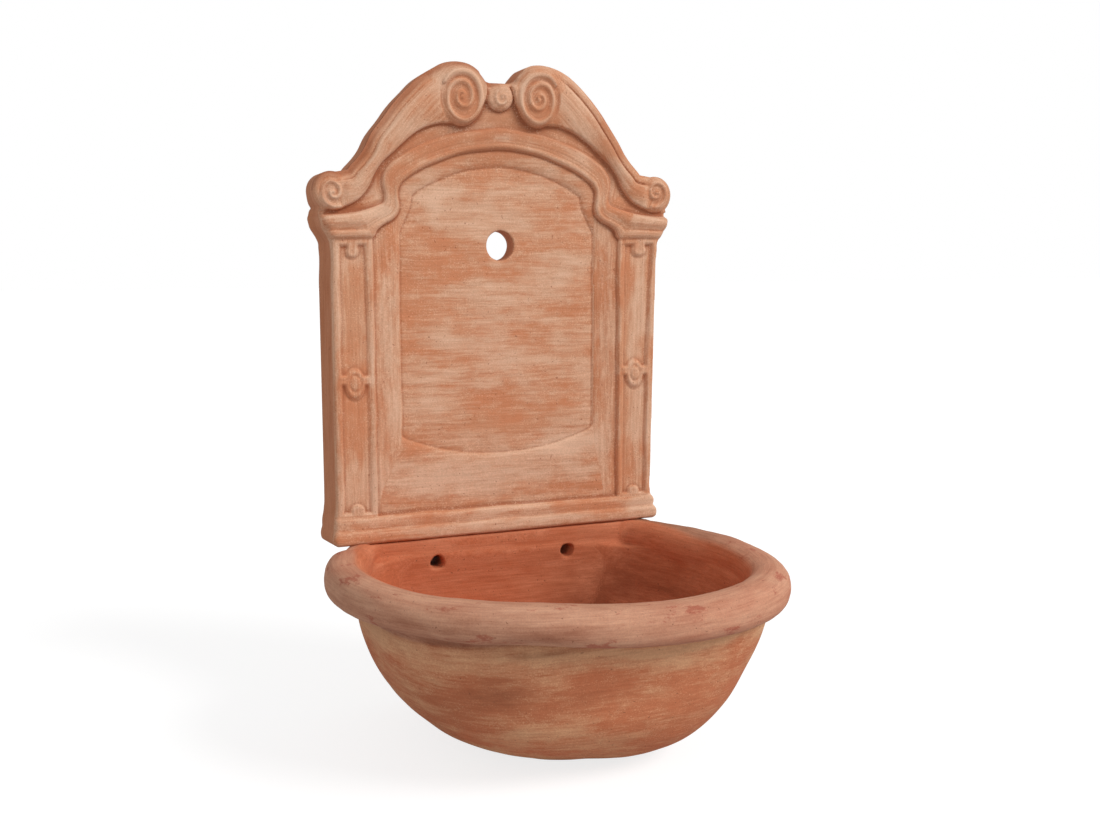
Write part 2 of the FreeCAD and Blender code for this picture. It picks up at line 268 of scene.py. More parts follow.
moulding_outer = closed([smooth_line([
    (-24, 470.4), (0, 473.3), (24, 470.4), (60, 464.4), (84, 456.6), (107.4, 446), (119, 439.3),
    (128.5, 433), (135, 425.5), (139.2, 417), (139.8, 407), (137.6, 396), (139.5, 388),
    (146.5, 384.4), (157, 381.4), (178, 377), (200.5, 374.5), (240, 373),
])], [(far, 373), (far, -far), (-far, -far), (-far, 470)])
moulding_inner = closed([
    arc(0, 249.7, 199.5, 110, 54.5, 1), smooth_line([
        (117.6, 410), (121, 404), (121.6, 394), (120.4, 383), (123.4, 374.5), (129.8, 368.2),
        (140, 363), (146.6, 357.5), (149.6, 351), (152.5, 348.4)]),
], [(far, 348), (far, -far), (-far, -far), (-far, 400)])
field_edge = closed([
    arc(0, 250.7, 178.8, 90, 55), smooth_line([
        (103.8, 395), (105.6, 385), (109.4, 375.5), (114.4, 365), (118.6, 357), (119.5, 348)]),
    [(119.5, 126)], arc(113.5, 125, 6, 0, -70, 15), smooth_line([
        (112, 117.5), (92, 110), (66, 103), (36, 98), (0, 96)]),
])
field_edge = closed([field_edge, field_edge[::-1] * [-1, 1]])
hollow_edge = closed([[(174.5, 24), (174.5, 374.5), (99.7, 446.5), (73.4, 479.6), (12, 487.6)]])
hollow_edge = closed([hollow_edge, hollow_edge[::-1] * [-1, 1]])
rail_lower = closed([smooth_line([
    (24, 560), (24, 505), (29, 488), (40, 479), (54, 477), (72, 476.5), (93, 469.5), (113, 456),
    (127, 443.4), (141, 430), (149, 418.5), (155.5, 406), (165, 394.5), (178, 386), (198, 380.6),
    (240, 379),
])], [(far, 379), (far, 700), (24, 700)])


def fall(inward, radius):
    """How far a rounded edge of that radius drops, at a place inward from the edge."""
    reach = np.clip(radius - inward, 0, radius)
    return radius - np.sqrt(np.maximum(radius ** 2 - reach ** 2, 0))


def scroll(x, h, centre, squeeze, turns, thick):
    """Height, 0 to 1, of a scroll's raised ridge that winds inwards anticlockwise.

    turns lists the ridge's radius at angles that go on past a full turn.
    """
    across = (x - centre[0]) / squeeze[0]
    up = (h - centre[1]) / squeeze[1]
    radius = np.hypot(across, up)
    angle = np.degrees(np.arctan2(up, across))
    angle = np.where(angle < turns[0][0], angle + 360, angle)
    ridge = hump(radius, 0.7 * thick)
    for lap in range(4):
        place = angle + 360 * lap
        line = along(place, turns)
        width = thick * (0.55 + 0.45 * line / turns[0][1])
        bump = np.exp(-(np.abs(radius - line) / width) ** 2.4)
        ridge = np.maximum(ridge, bump * (place <= turns[-1][0]))
    return ridge, radius, angle


# Scrolls: middle and squeeze, and the radius of their ridge at each angle
big_scroll = ((46.5, 505.8), (0.85, 1.06))
big_scroll_radius = 30.5
big_turns = [
    (30, 30), (60, 28.5), (90, 27.2), (170, 26.2), (265, 24.8), (350, 21.2), (400, 19.2),
    (450, 17), (530, 13.4), (620, 10.4), (710, 8), (800, 5.4), (880, 2.5)]
end_scroll = ((198.0, 402.3), (0.96, 1.02))
end_drop = 3.8  # of the left one
end_turns = [(-120, 17.5), (-90, 16.2), (0, 12.6), (90, 11.6), (180, 8.2), (270, 6), (380, 2.6)]
rosette_scroll = ((1.8, 507.0), (1.0, 1.05))
rosette_turns = [(100, 9.5), (180, 8), (270, 6.6), (360, 5), (450, 3), (500, 1.5)]
inner_start = 69.6  # length along the moulding's lines at the plate's middle
outer_start = 24.2

# Depths of the plinth by height, and of the moulding from its inner line, 0, to the outer, 1
plinth_profile = [
    (0, 49.4), (2, 50.8), (6, 51.4), (12, 51.1), (15, 50.2), (17.5, 48.6), (19, 48.1),
    (21, 48.4), (26, 48.5), (28.5, 47.9), (30, 46.8), (31.5, 45.6)]
arch_profile = [
    (0, 44.7), (0.05, 45.9), (0.12, 46.8), (0.21, 47.0), (0.27, 46.6), (0.315, 45.8),
    (0.335, 45.8), (0.37, 46.6), (0.40, 46.6), (0.435, 45.8), (0.455, 45.8), (0.50, 46.5),
    (0.65, 46.5), (0.82, 46.3), (0.94, 45.8), (1, 45.0)]
cap_profile = [
    (0, 46.0), (0.05, 47.4), (0.13, 48.6), (0.23, 48.8), (0.30, 48.2), (0.34, 47.6),
    (0.37, 47.8), (0.40, 48.6), (0.43, 48.8), (0.46, 48.8), (0.55, 50.4), (0.66, 51.4),
    (0.80, 51.4), (0.92, 50.2), (1, 47.4)]


def field_relief(h, in_field):
    """The middle field and the sloped band round it."""
    upper = ease(360, 400, h)
    band = band_depth + 1.4 * upper
    field = field_depth + 0.7 * ease(0, 30, in_field)
    rise = 1 - np.exp(-np.clip(-in_field, 0, 60) / (4.2 + 3.0 * upper))
    depth = np.where(in_field > 0, field, between(field, band, rise))
    return depth - 0.5 * hump(in_field - 0.2, 1.3)


def pilaster_relief(x, h):
    """A pilaster with its sunk panel, and the ornaments left standing in it."""
    ax = np.abs(x)
    px = (ax - panel_middle) * (1 + 0.06 * ease(200, 340, h) * (x < 0))
    across = np.abs(px)
    bar = 5.0 - np.abs(h - 188.5) - 0.25 * ease(10, 16, across)
    ring = 11.5 * (1 - np.hypot(px / 10.5, (h - 184.5) / 16.5))
    pendant = np.maximum(6.8 - np.hypot(px, h - 334), np.minimum(6.0 - across, h - 334))
    knob = np.maximum(7.0 - np.hypot(px, h - 38), np.minimum(6.0 - across, 38 - h))
    panel = np.minimum(panel_half_width - across, np.minimum(h - panel_foot, panel_head - h))
    for raised in (bar, ring, pendant, knob):
        panel = soft_least(panel, -raised, 2.5)
    depth = pilaster_depth - 2.7 * ease(-2.2, 2.4, panel)
    depth -= 0.4 * hump(panel - 2.0, 1.4)
    depth += 0.35 * hump(panel + 2.6, 1.6)
    boss = 6.0 * (1 - np.hypot(px / 6.0, (h - 185.0) / 8.5))
    depth += 0.9 * ease(-0.4, 2.2, boss) - 0.8 * hump(boss + 0.6, 1.1)
    return depth - 0.7 * hump(ax - pilaster_inner - 4.6, 1.4)


def rail_relief(x, inward, in_rail):
    """A rail: a bead along the right one's edge, a bevel along the left one's, and its body."""
    ax = np.abs(x)
    on_left = ease(20, -20, x)
    edge = along(inward, [
        (0, 42), (2, 44.4), (4.5, 45.9), (7, 46.3), (9, 46), (rail_bead, 45.6), (12, 46.6)])
    bevel = along(inward, [
        (0, 39), (2, 41.6), (4.5, 44.2), (7, 46.1), (9, 47), (rail_bead, 47.3), (12, 47.5)])
    edge = between(edge, bevel, np.maximum(on_left, ease(90, 60, ax)))
    past_bead = inward - rail_bead
    share = np.clip(past_bead / np.maximum(past_bead + in_rail, 1e-3), 0, 1)
    body = rail_depth + 4.8 * np.sin(math.pi * share ** 0.60) ** 0.8
    depth = np.where(inward < rail_bead, edge, body)
    depth -= (1.1 - 0.8 * on_left) * ease(75, 100, ax) * hump(past_bead, 1.6)
    return depth - fall(in_rail, 2.5) + 1.2 * share


def big_scroll_relief(ax, h, inward):
    """A big scroll, a disc with a winding ridge that the rail runs into over its top.

    Returns its depth, how far it covers what is below, its radius and how far it reaches.
    """
    ridge, radius, angle = scroll(ax, h, *big_scroll, big_turns, 3.4)
    rolled = angle % 360
    limit = big_scroll_radius + along(rolled, [
        (10, 0), (42, 40), (120, 40), (138, 16), (155, 10), (180, 4), (200, 0)])
    free = along(rolled, [
        (0, 0.35), (30, 0.1), (60, 0), (150, 0), (185, 0.7), (205, 1), (285, 1), (318, 0.4),
        (360, 0.35)])
    face = big_scroll_depth + 3.5 * ridge + 1.2 * ease(24, 4, radius)
    slope = 41.0 + 14.0 * np.sin(np.clip(inward / 12.5, 0, 1) * math.pi / 2) ** 1.1
    face = soft_least(face, slope, 3.0) - free * fall(np.clip(limit - radius, 0, 9), 5.0)
    cover = ease(1.2, -1.8, radius - limit)
    cover = cover * np.where(radius > big_scroll_radius, ease(12, 75, rolled), 1)
    return face, cover, radius, limit


def end_scroll_relief(x, h):
    """An end scroll, where the rail curls under and up: its depth and cover, and the reach."""
    ax = np.abs(x)
    ridge, radius, _ = scroll(ax, h + end_drop * (x < 0), *end_scroll, end_turns, 2.6)
    across, up = ax - end_volute[0], h - end_volute[1]
    reach = np.hypot(across, up)
    about = np.degrees(np.arctan2(up, across)) % 360
    free = 1 - ease(125, 150, about) * ease(262, 235, about)
    disc = end_scroll_depth + 2.7 * ridge + 0.6 * ease(14, 2, radius)
    disc -= free * fall(21.5 - reach, 5.5)
    return disc, ease(1.4, -1.0, reach - 21.0) * ease(179, 192, ax), reach


def with_rosette(x, h, depth):
    """The rosette, and the neck that ties it to the left scroll, over what is below."""
    ridge, _, _ = scroll(x, h, *rosette_scroll, rosette_turns, 2.0)
    lump = np.hypot((x - 0.4) / 16.8, (h - 507.8) / 15.2)
    boss = rosette_depth + 1.9 * ridge - 2.0 * lump ** 2 - fall(15.0 * (1 - lump), 4.5)
    off_neck = np.abs(h - 511)
    neck = neck_depth - fall(9.0 - off_neck, 5.0) - 5 * ease(-10, 0, x) - 5 * ease(-22, -30, x)
    depth = np.maximum(depth, neck * ((off_neck < 9) & (x < 0)))
    return np.maximum(depth, boss * (lump < 1))


def plate_front(x, h, inward):
    """Depth of the plate's face in front of the wall, and places along and across the brush."""
    ax = np.abs(x)
    below_outer, outer_place, _ = nearest(ax, h, moulding_outer)
    below_inner, inner_place, _ = nearest(ax, h, moulding_inner)
    in_field, _, _ = nearest(x, h, field_edge)
    in_rail, rail_place, _ = nearest(ax, h, rail_lower)

    # Field, pilasters, plinth, arch moulding and caps
    depth = field_relief(h, in_field)
    on_pilaster = ease(pilaster_inner - 1.9, pilaster_inner + 1.3, ax)
    depth = between(depth, pilaster_relief(x, h), on_pilaster)
    depth = between(along(h, plinth_profile), depth, ease(30.0, 33.5, h))
    share = np.clip(-below_inner, 0, 90) / np.maximum(below_outer - below_inner, 1e-3)
    share = np.clip(share, 0, 1)
    moulding = between(along(share, arch_profile), along(share, cap_profile), ease(138, 170, ax))
    depth = between(depth, moulding, ease(1.5, -1.2, below_inner))
    depth -= 0.4 * hump(below_inner - 1.4, 1.2) * (ax < pilaster_inner + 4)

    # Sunk ground above the moulding, and what stands on it
    ground = ground_depth - 0.9 * ease(-90, -150, x) - 0.6 * ease(480, 500, h)
    depth = between(depth, ground, ease(1.8, -1.6, below_outer))
    rail = rail_relief(x, inward, in_rail)
    depth = np.maximum(depth, between(depth, rail, ease(-1.5, 1.0, in_rail)))
    face, cover, radius, limit = big_scroll_relief(ax, h, inward)
    depth = between(depth, face, cover)
    disc, cover, reach = end_scroll_relief(x, h)
    depth = between(depth, disc, cover)
    depth = with_rosette(x, h, depth)

    # Worn outer edges
    plain = ease(1.0, -1.0, in_rail) * ease(22, 24, reach)
    rounded = along(h, [(0, 5), (31, 5), (40, 4), (335, 4), (352, 9), (378, 9), (384, 5)])
    depth = depth - fall(inward, rounded) * plain
    depth = depth - fall(np.maximum(off_hole(x, h), 0), 1.8)

    # Brushing runs across the field, up the pilasters and along the mouldings
    frame_edge = 121.0 + (27.0 - 14.0 * (x > 0)) * ease(124, 40, h)
    upright = (ax > frame_edge) & (in_field < -1) & (h > 33) & (below_inner > 0)
    arched = (below_inner < 0) & (below_outer > -1)
    above = below_outer <= -1
    curled = (limit - radius > 0) & (ax < 80) & (h > 470)
    side = np.sign(x)
    lengthwise, crosswise = x, h
    for where, length, offset in (
            (upright, h, x),
            (arched, (inner_place - inner_start) * side, 300 + share * 25),
            (above, (outer_place - outer_start) * side, 600 + below_outer),
            (above & (in_rail > 0), rail_place * side, 700 + inward),
            (curled, (x + h) / 2, 900 + radius)):
        lengthwise = np.where(where, length, lengthwise)
        crosswise = np.where(where, offset, crosswise)
    return depth, lengthwise, crosswise


def off_hole(x, h):
    """Distance outside the tap hole."""
    return np.hypot(x - tap_x, h - tap_height) - tap_radius


def onto_edge(x, h):
    """Points moved onto the plate's edge, and the outward directions there."""
    for _ in range(3):
        far_in, _, way = nearest(x, h, outline)
        to_hole = off_hole(x, h)
        at_hole = np.abs(to_hole) < np.abs(far_in)
        out = np.column_stack([way[:, 1], -way[:, 0]])
        hole_out = np.column_stack([tap_x - x, tap_height - h]) / (to_hole + tap_radius)[:, None]
        out[at_hole] = hole_out[at_hole]
        move = np.where(at_hole, to_hole, far_in)
        x, h = x + out[:, 0] * move, h + out[:, 1] * move
    return x, h, out


def evened(x, h, free):
    """A grid's free points brought between their neighbours."""
    for _ in range(6):
        for g in (x, h):
            mean = g.copy()
            mean[1:-1, 1:-1] = (g[:-2, 1:-1] + g[2:, 1:-1] + g[1:-1, :-2] + g[1:-1, 2:]) / 4
            g[free] = mean[free]
    return x.ravel(), h.ravel()


def plate_grid():
    """Grid over the plate that follows its outline and its tap hole.

    Returns its places, edge directions and faces, its whole shape and the points used of it.
    """
    step = plate_step
    x, h = np.meshgrid(np.arange(-222, 222 + step, step), np.arange(-2 * step, 550, step))
    shape = x.shape
    x, h = x.ravel(), h.ravel()
    gap, _, _ = nearest(x, h, outline)
    gap = np.minimum(gap, off_hole(x, h)).reshape(shape)

    # Of each pair of grid points on either side of the edge, the nearer one moves onto it
    inside = gap > 0
    on_edge = np.zeros(shape, bool)
    for a, b in ((np.s_[:-1], np.s_[1:]), (np.s_[:, :-1], np.s_[:, 1:])):
        crossing = inside[a] != inside[b]
        outer_a = np.abs(gap[a]) + 1e-6 * inside[a] < np.abs(gap[b]) + 1e-6 * inside[b]
        on_edge[a] |= crossing & outer_a
        on_edge[b] |= crossing & ~outer_a
    used = inside | on_edge
    edge = on_edge.ravel()
    normals = np.zeros((len(x), 2))
    x[edge], h[edge], normals[edge] = onto_edge(x[edge], h[edge])
    free = inside & ~on_edge & (gap < 4 * step)
    free[[0, -1]] = free[:, [0, -1]] = False
    x, h = evened(x.reshape(shape), h.reshape(shape), free)

    number = np.arange(len(x)).reshape(shape)
    square = np.column_stack([corner.ravel() for corner in (
        number[:-1, :-1], number[:-1, 1:], number[1:, 1:], number[1:, :-1])])
    good = used.ravel()[square]
    quads = square[good.all(axis=1)]
    three = good.sum(axis=1) == 3
    triangles = square[three][good[three]].reshape(-1, 3)
    triangles = triangles[(inside & ~on_edge).ravel()[triangles].any(axis=1)]

    chosen = np.unique(np.concatenate([quads.ravel(), triangles.ravel()]))
    renumber = np.full(len(x), -1)
    renumber[chosen] = np.arange(len(chosen))
    return (x[chosen], h[chosen], normals[chosen], renumber[quads], renumber[triangles],
            shape, chosen)


def plate_back(x, h, inward):
    """Sideways draft and depth of the back, hollow inside the border that bears on the wall."""
    draft = 6.0 * ease(150, 195, np.abs(x)) * ease(398, 372, h) * np.sign(x)
    draft -= 1.2 * np.sign(x) * ease(10, 60, np.abs(x)) * ease(430, 460, h)
    spread = draft * ease(26, 0, inward)
    places = np.column_stack([x, h])
    room, _, _ = nearest(x, h, hollow_edge)
    sunk = hollow_depth * ease(-4, 6, room)
    sunk += ease(0, 12, room) * (0.9 * wobble(places, 38, 8) + 0.5 * wobble(places, 17, 9))
    return spread, sunk + fall(inward, 2.5)


def open_sides(quads, triangles, count):
    """Directed sides of the faces that no other face shares."""
    pairs = np.vstack([faces[:, [k, k + 1 - faces.shape[1]]]
                       for faces in (quads, triangles) for k in range(faces.shape[1])])
    keys = pairs[:, 0] * count + pairs[:, 1]
    twins = pairs[:, 1] * count + pairs[:, 0]
    return pairs[~np.isin(keys, twins)]


def plate_mesh():
    """Closed mesh of the backplate: face, hollow back, and the sides and tap hole between."""
    x, h, normals, quads, triangles, shape, chosen = plate_grid()
    places = np.column_stack([x, h])
    inward, around, _ = nearest(x, h, outline)
    inward = np.maximum(inward, 0)
    drift = 0.7 * wobble(places, 90, 3)
    lift = 0.6 * wobble(places, 70, 4)
    true_x = x - out_of_true(x, h)
    true_h = h - foot_shift(x, h)
    depth, lengthwise, crosswise = plate_front(true_x + drift, true_h + lift, inward)
    depth += 0.35 * wobble(places, 60, 5) + 0.10 * wobble(places, 14, 6)
    spread, sunk = plate_back(x, h, inward)

    # Front sheet, back sheet and the rings that join them
    levels = 9
    count = len(x)
    rim = open_sides(quads, triangles, count)
    ring_of = np.unique(rim)
    columns = [np.column_stack([x, h, depth]), np.column_stack([x + spread, h, sunk])]
    across = [
        np.column_stack([lengthwise, crosswise, depth]), np.column_stack([x, h, sunk - 900])]
    rings = [ring_of]
    base = 2 * count
    for level in range(1, levels):
        t = level / levels
        ring_depth = depth[ring_of] * (1 - t) + sunk[ring_of] * t
        uneven = 0.4 * wobble(np.column_stack([around[ring_of], ring_depth]), 60, 11)
        uneven *= 4 * t * (1 - t) * (h[ring_of] > 4)
        columns.append(np.column_stack([
            x[ring_of] + spread[ring_of] * t + normals[ring_of, 0] * uneven,
            h[ring_of] + normals[ring_of, 1] * uneven, ring_depth]))
        across.append(np.column_stack([around[ring_of], ring_depth - 300, ring_depth]))
        rings.append(base + np.arange(len(ring_of)))
        base += len(ring_of)
    rings.append(ring_of + count)
    points = np.vstack(columns)

    ring_place = np.full(count, -1)
    ring_place[ring_of] = np.arange(len(ring_of))
    a, b = ring_place[rim[:, 0]], ring_place[rim[:, 1]]
    sides = [np.column_stack([upper[b], upper[a], lower[a], lower[b]])
             for upper, lower in zip(rings[:-1], rings[1:])]
    faces = [quads, triangles, quads[:, ::-1] + count, triangles[:, ::-1] + count, *sides]

    # How hollow or raised each place is, over two widths; the material paints shade into the
    # hollows from it
    grid = np.full(shape, np.nan)
    grid.ravel()[chosen] = depth
    raised = sum(gain * (depth - blurred(grid, width / plate_step).ravel()[chosen])
                 for width, gain in ((2.5, 1.1), (7.0, 0.45)))
    raised += ease(7, 1, inward) * (0.9 - raised)
    relief = np.full(len(points), -0.2)
    relief[:count] = np.clip(raised, -3, 3)
    away = np.full(len(points), 1.0)
    # Painted shade: the left rail's outer bevel, turned from the light, takes the darker side
    # colour
    away[:count] = 0.8 * ease(10, 2, inward) * ease(395, 425, h) * ease(20, -20, x)
    away[count:2 * count] = 0.6
    place = np.column_stack([
        points[:, 0] / 1000, wall_y - points[:, 2] / 1000, seat_z + points[:, 1] / 1000])
    values = {
        "grain": np.vstack(across) / 1000, "relief": relief, "away": away,
        "bloom": plate_bloom(points), "stain_and_shade": plate_stain_and_shade(points, away),
    }
    return make_piece("backplate_clay_body", place, faces, values)


def blurred(grid, width):
    """Grid smoothed over that many cells, empty cells left out."""
    reach = int(3 * width) + 1
    kernel = np.exp(-0.5 * (np.arange(-reach, reach + 1) / width) ** 2)
    solid = np.isfinite(grid).astype(float)
    value = np.where(solid > 0, grid, 0)
    for axis in (0, 1):
        value = np.apply_along_axis(np.convolve, axis, value, kernel, mode="same")
        solid = np.apply_along_axis(np.convolve, axis, solid, kernel, mode="same")
    return value / np.maximum(solid, 1e-6)


def spots(x, h, places):
    """Soft patches given as (x, h, half width, half height, strength)."""
    total = np.zeros(len(x))
    for cx, ch, wide, high, strength in places:
        total += strength * np.exp(-((x - cx) / wide) ** 2 - ((h - ch) / high) ** 2)
    return total


def plate_bloom(points):
    """Where the clay's pale bloom lies thicker, and where it is rubbed off."""
    x, h, _ = points.T
    return spots(x, h, [
        (-10, 225, 34, 50, 0.55), (60, 300, 40, 40, 0.2), (-80, 68, 56, 18, 1.1),
        (-137, 240, 10, 110, 0.5), (-150, 380, 30, 14, 0.35), (-78, 385, 10, 26, 0.5),
        (100, 380, 14, 18, 0.45), (40, 455, 10, 6, 0.5), (5, 462, 14, 5, 0.5),
        (-176, 330, 14, 14, 0.5), (-178, 120, 8, 60, 0.35), (176, 290, 9, 60, 0.45),
        (-157, 189, 8, 6, 0.8), (157, 189, 8, 6, 0.6), (178, 22, 24, 9, 0.5),
        (-204, 390, 8, 14, 0.6), (0, 130, 90, 16, -0.5), (84, 104, 46, 16, 1.1),
        (-60, 100, 60, 10, -0.3), (0, 486, 70, 12, -0.8), (0, 456, 120, 16, -0.8),
        (5, 463, 16, 5, 1.0), (0, 12, 190, 7, 0.4), (-120, 420, 14, 20, -0.6),
        (120, 420, 14, 20, -0.5), (-176, 120, 14, 90, -0.4), (-176, 270, 12, 50, -0.9),
        (160, 200, 7, 160, -1.0), (-110, 470, 24, 18, 0.3), (-70, 520, 12, 14, 0.6),
        (-170, 400, 12, 14, 0.3), (108, 462, 10, 20, 0.5), (28, 512, 6, 14, 0.7),
        (55, 505, 20, 24, -0.3), (-45, 505, 20, 24, -0.2), (140, 450, 22, 16, -0.6),
        (175, 410, 12, 20, -0.5), (130, 480, 14, 20, -0.4),
    ])


def plate_stain_and_shade(points, away):
    """Where the clay is browner, and painted shade on the plate's left edge and the left rail's
    outer bevel.
    """
    x, h, depth = points.T
    # Painted shade on the left rail's outer bevel
    bevel = 0.8 * away * ((x < 0) & (depth > 36) & (h > 400))
    # Painted shade down the plate's left edge (the first spot); the other spots are browner clay
    return bevel + spots(x, h, [
        (-205, 250, 8, 400, 0.15), (0, 480, 60, 9, 0.35), (0, 458, 110, 14, 0.22),
        (138, 240, 12, 120, 0.22), (132, 478, 14, 22, 0.25), (142, 448, 22, 16, 0.2),
        (-132, 414, 16, 20, 0.15),
    ])


# Basin

rim_height = 193.5
rim_size = (23.0, 23.5)
rim_plan = (226.0, 397.0, 2.33)  # half width, reach and squareness of its middle line
plan_widest = 0.485
plan_narrowing = 0.37
bowl_top = 186
back_top = 212.5
floor_top = 26
wall_thickness = 40
seat_height = 1000 * seat_z
seat_half_width = 212.0
seat_depth = 52.0
screw_holes = ((-81.5, 179.8), (84.3, 180.8))
screw_radius = 6.3
bowl_middle = 170  # in front of the wall; the brushing winds round it
brush_radius = 230
bowl_profile = [  # height, half width, reach
    (-5, 94, 234), (0, 99, 240), (15, 113, 278), (40, 146, 325), (75, 180, 353),
    (115, 201, 366), (165, 214, 380), (190, 217, 384), (230, 217, 384),
]
cavity_profile = [
    (-5, 64, 226), (26, 68, 228), (38, 89, 274), (60, 118, 320), (90, 156, 344),
    (124, 179, 356), (178, 200, 366), (190, 202, 367), (230, 202, 367),
]
bowl_swellings = [  # x, height, half sizes, and how far the side stands out there
    (-138, 36, 35, 22, 5.0), (-62, 8, 35, 18, -6.0), (40, 8, 45, 18, 6.0),
]
wall_steepness = ([0, 20, 60, 110, 160, 200], [0.62, 0.66, 0.8, 0.92, 0.98, 1.0])


def plan_gap(x, front, half_width, reach, squareness):
    """How far inside the basin's plan a point lies."""
    ax = np.abs(x)
    widest = plan_widest * reach
    nose = reach - widest
    behind = np.clip((widest - front) / widest, 0, 1.4)
    edge = half_width * (1 - plan_narrowing * behind ** 1.6)
    lean = half_width * plan_narrowing * 1.6 * behind ** 0.6 / widest
    flat = (edge - ax) / np.sqrt(1 + lean ** 2)
    g = np.maximum(front - widest, 0)
    n = squareness
    a, b = ax / half_width + 1e-9, g / nose + 1e-9
    rho = (a ** n + b ** n) ** (1 / n)
    slope = np.hypot((a / rho) ** (n - 1) / half_width, (b / rho) ** (n - 1) / nose)
    return np.where(front > widest, (1 - rho) / slope, flat)


def level_plan(profile, height):
    """Half width and reach of a profile at each height."""
    lines = (smooth_line([(row[0], row[k]) for row in profile], 1.0) for k in (1, 2))
    return [np.interp(height, *line.T) for line in lines]


def rim_uneven(x, front):
    """How far the rim's crest lies low and its foot lies high."""
    nose = ease(110, 250, front)
    rear_left = ease(-120, -210, x) * ease(130, 50, front)
    left = hump(x + 190, 50)
    crest = 4.4 * hump(x - 35, 105) + 1.6 * left
    foot = 1.5 + 8.0 * hump(x + 98, 62) + 3.0 * left
    return crest * nose + 12.0 * rear_left, foot * nose


def levelled(points):
    """Sideways place and height without the basin's shift to the right and its tilt."""
    x, front, height = points.T
    tilt = 0.017 * x * np.clip(height / rim_height, 0, 1.2) ** 1.5
    shift = 2.0 + 4.0 * np.clip(front / 400, 0, 1)
    return x - shift, height + tilt


def bowl_side(points):
    """How far inside the bowl's outer side a point lies."""
    x, front, height = points.T
    bx, z = levelled(points)
    low = ease(170, 20, z)
    z_bowl = z + np.where(x > 10, 0.10, 0.05) * (x - 10) * ease(100, 10, height)
    gap = plan_gap(bx - 7.0 * low, front, *level_plan(bowl_profile, z_bowl), 3.2 - 0.5 * low)
    return gap + spots(x, z, bowl_swellings)


def rim_field(points):
    """The rolled rim, and how far inside its middle line a point lies."""
    x, front, _ = points.T
    bx, z = levelled(points)
    rear = ease(130, 50, front)
    left = ease(-120, -210, x)
    thin = 4.5 * rear
    crest_drop, foot_rise = rim_uneven(x, front)
    line = plan_gap(bx, front, *rim_plan) + thin
    across = np.abs(line) / (rim_size[0] - thin)
    wave = 1.2 * np.sin(np.arctan2(bx, front - 150) * 2 + 0.6)
    up = z + wave - rim_height - 1.2 * left - 0.5 * rear
    up = np.abs(up + (crest_drop - foot_rise) / 2)
    up = up / (rim_size[1] - 1.6 * left - 2.0 * rear - (crest_drop + foot_rise) / 2)
    bead = (1 - (across ** 2.25 + up ** 2.25) ** (1 / 2.25)) * rim_size[0]
    return soft_least(bead, front, 4.0), line


def basin_field(points):
    """Above 0 inside the clay, below 0 outside, about in millimetres."""
    x, front, height = points.T
    bx, z = levelled(points)
    outer = bowl_side(points)
    steep = np.interp(z, *wall_steepness)
    bowl = soft_least(outer * steep, height, 9.0)
    bowl = soft_least(bowl, front, 4.0)
    bowl = soft_least(bowl, bowl_top - z, 6.0)
    inner = plan_gap(bx, front, *level_plan(cavity_profile, z), 3.0)
    wall = wall_thickness + 8.0 * ease(140, 205, height)
    cavity = soft_least(inner * steep, front - wall, 44.0)
    cavity = soft_least(cavity, height - floor_top, 34.0)
    clay = soft_least(bowl, -cavity, 3.0)

    rim, line = rim_field(points)
    back = soft_least(soft_least(front, wall - front, 4.0), back_top - height, 4.0)
    back = soft_least(back, line + 6, 8.0)
    back = soft_least(back, np.where(z > 176, 20, outer - 2), 6.0)
    back = soft_least(back, height - 20, 4.0)
    clay = soft_most(clay, rim, 3.5)
    clay = soft_most(clay, back, 9.0)

    seat = height - seat_height - seat_slope * x
    bay = soft_least(seat_half_width - np.abs(x), seat_depth - front, 2.0)
    clay = soft_least(clay, -soft_least(bay, seat, 2.0), 1.6)
    for side, level in screw_holes:
        hole = np.hypot(x - side, height - level)
        hole += 0.5 * np.sin(3 * np.arctan2(height - level, x - side) + side)
        hole = np.minimum(screw_radius + 2.2 * ease(33, 46, front) - hole, 60 - front)
        clay = soft_least(clay, -hole, 1.0)
    return clay


def slope_of(points, field):
    """Gradient of a field at points, by small steps."""
    return np.column_stack([
        (field(points + shift) - field(points - shift)) / 0.8 for shift in 0.4 * np.eye(3)])


